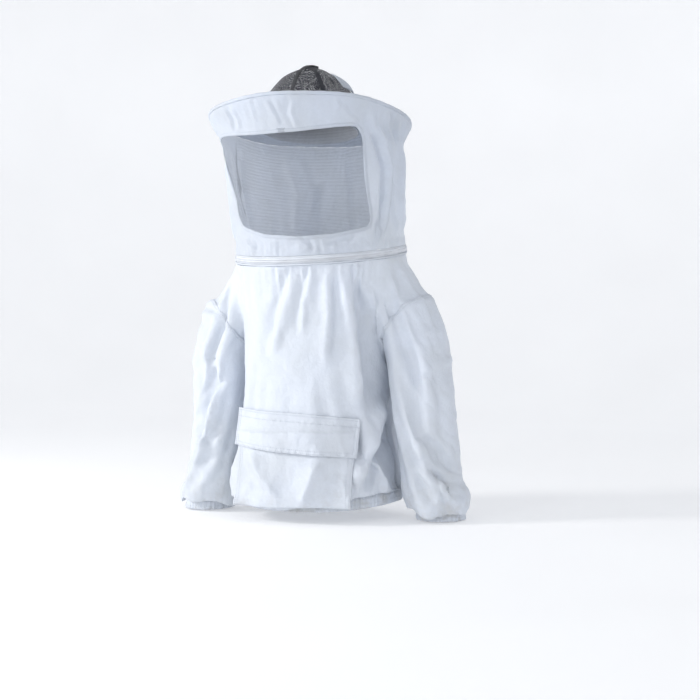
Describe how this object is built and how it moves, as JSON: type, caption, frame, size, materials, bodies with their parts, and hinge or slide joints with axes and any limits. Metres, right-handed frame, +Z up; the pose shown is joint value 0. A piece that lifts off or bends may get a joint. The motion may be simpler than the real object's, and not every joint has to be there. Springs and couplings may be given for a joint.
{
  "type": "beekeeping smock with veil hood",
  "caption": "White pull-on beekeeping smock with a zip-on round-brim veil hood, netting face window and crown, gathered cuffs and hem, and a flapped front pouch pocket.",
  "frame": {"origin": "between the wearer's shoulders, in the middle of the jacket just below the neck zip", "axes": "+Z up, the front faces -Y, +X is the wearer's left"},
  "size_m": [0.5624, 0.3834, 0.7912],
  "materials": {
    "cotton": "woven cotton and polyester cloth, matt",
    "netting": "open black netting",
    "elastic": "knitted elastic",
    "tape": "woven zip tape",
    "foam": "stiff foam",
    "nylon": "satin",
    "steel": "satin"
  },
  "bodies": {
    "jacket": {"front_body": "cotton", "back_body": "cotton", "hem_casing": "cotton", "hem_elastic": "elastic", "pouch_pocket": "cotton", "pocket_loop_strip": "nylon", "flap_seam_band": "cotton", "zip_tape_lower": "tape", "zip_coil_lower": "nylon", "zip_stop_left": "nylon", "zip_stop_right": "nylon", "neck_piping": "cotton"},
    "pocket_flap": {"pocket_flap": "cotton", "flap_hook_strip": "nylon"},
    "left_sleeve": {"sleeve_left": "cotton", "cuff_casing_left": "cotton", "cuff_elastic_left": "elastic"},
    "right_sleeve": {"sleeve_right": "cotton", "cuff_casing_right": "cotton", "cuff_elastic_right": "elastic"},
    "hood": {"veil_top_band": "cotton", "veil_lower_band": "cotton", "face_mesh": "netting", "side_panel_left": "cotton", "side_panel_right": "cotton", "back_panel": "cotton", "zip_tape_upper": "tape", "zip_coil_upper": "nylon", "brim_upper_panel": "cotton", "brim_lower_panel": "cotton", "brim_stiffener": "foam", "brim_hoop": "steel", "brim_edge_binding": "cotton", "hat_band": "cotton", "sweatband": "elastic", "crown_mesh_left": "netting", "crown_mesh_right": "netting", "crown_cap_patch": "netting", "crown_tape_front": "netting", "crown_tape_back": "netting", "crown_tab": "cotton"},
    "zip_slider": {"zip_slider": "steel"},
    "zip_pull": {"zip_pull": "steel"}
  },
  "joints": [
    {"name": "hood_fold_back", "type": "hinge", "parent": "jacket", "child": "hood", "pos_m": [0, 0.15307, 0.03061], "axis": [-1, 0, 0], "range_deg": [0, 110]},
    {"name": "left_sleeve_raise", "type": "hinge", "parent": "jacket", "child": "left_sleeve", "pos_m": [0.20794, 0, -0.06859], "axis": [0, -1, 0], "range_deg": [0, 60]},
    {"name": "right_sleeve_raise", "type": "hinge", "parent": "jacket", "child": "right_sleeve", "pos_m": [-0.20794, 0, -0.06859], "axis": [0, 1, 0], "range_deg": [0, 60]},
    {"name": "flap_lift", "type": "hinge", "parent": "jacket", "child": "pocket_flap", "pos_m": [0, -0.146, -0.283], "axis": [-1, 0, 0], "range_deg": [0, 120]},
    {"name": "zip_travel", "type": "hinge", "parent": "jacket", "child": "zip_slider", "pos_m": [0, 0, 0.005], "axis": [0, -0.165, 0.9863], "range_deg": [-288, 0]},
    {"name": "pull_swing", "type": "hinge", "parent": "zip_slider", "child": "zip_pull", "pos_m": [0.09503, 0.12708, 0.02627], "axis": [0, -0.165, 0.9863], "range_deg": [0, 150]}
  ]
}
